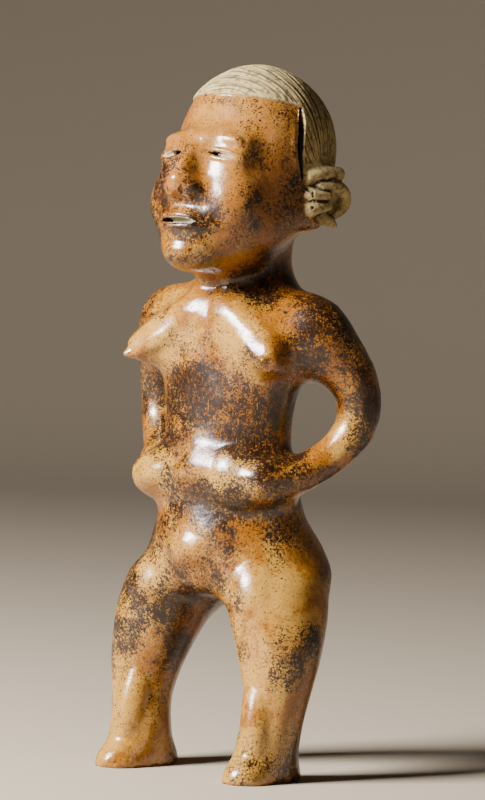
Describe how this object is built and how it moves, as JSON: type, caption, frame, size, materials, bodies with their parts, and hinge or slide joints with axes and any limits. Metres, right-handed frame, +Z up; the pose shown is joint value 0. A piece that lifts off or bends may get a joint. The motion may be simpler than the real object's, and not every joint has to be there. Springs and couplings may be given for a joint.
{
  "type": "standing female figure",
  "caption": "Standing hollow clay figure of a woman with hands at her waist, a combed hair cap and rings in her ears.",
  "frame": {"origin": "middle of the bounding box at the height of the flat soles", "axes": "+Z up, the figure faces -Y and its left side is +X"},
  "size_m": [0.1636, 0.1198, 0.3934],
  "materials": {
    "clay": "burnished"
  },
  "bodies": {
    "root": {"figure": "clay"}
  },
  "joints": []
}
